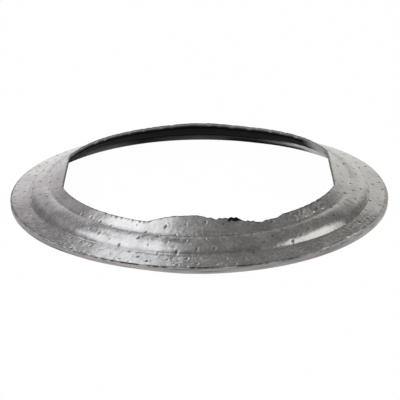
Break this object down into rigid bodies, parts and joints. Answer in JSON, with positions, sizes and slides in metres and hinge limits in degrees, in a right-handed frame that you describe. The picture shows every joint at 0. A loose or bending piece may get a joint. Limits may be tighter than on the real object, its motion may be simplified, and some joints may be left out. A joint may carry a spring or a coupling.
{
  "type": "exhaust ring gasket",
  "caption": "Conical ring gasket stamped from graphite-faced sheet, with a stepped section and a torn inner edge, clamped between two flared exhaust pipe ends to seal the joint.",
  "frame": {"origin": "on the ring's axis, in the plane that the rim rests on", "axes": "+Z along the ring's axis, towards the raised lip; -Y is the front, where the inner edge is torn; +X to the right"},
  "size_m": [0.075, 0.075, 0.0076],
  "materials": {
    "graphite_sheet": "satin, pressed graphite facing with small pits"
  },
  "bodies": {
    "root": {"gasket_ring": "graphite_sheet"}
  },
  "joints": []
}
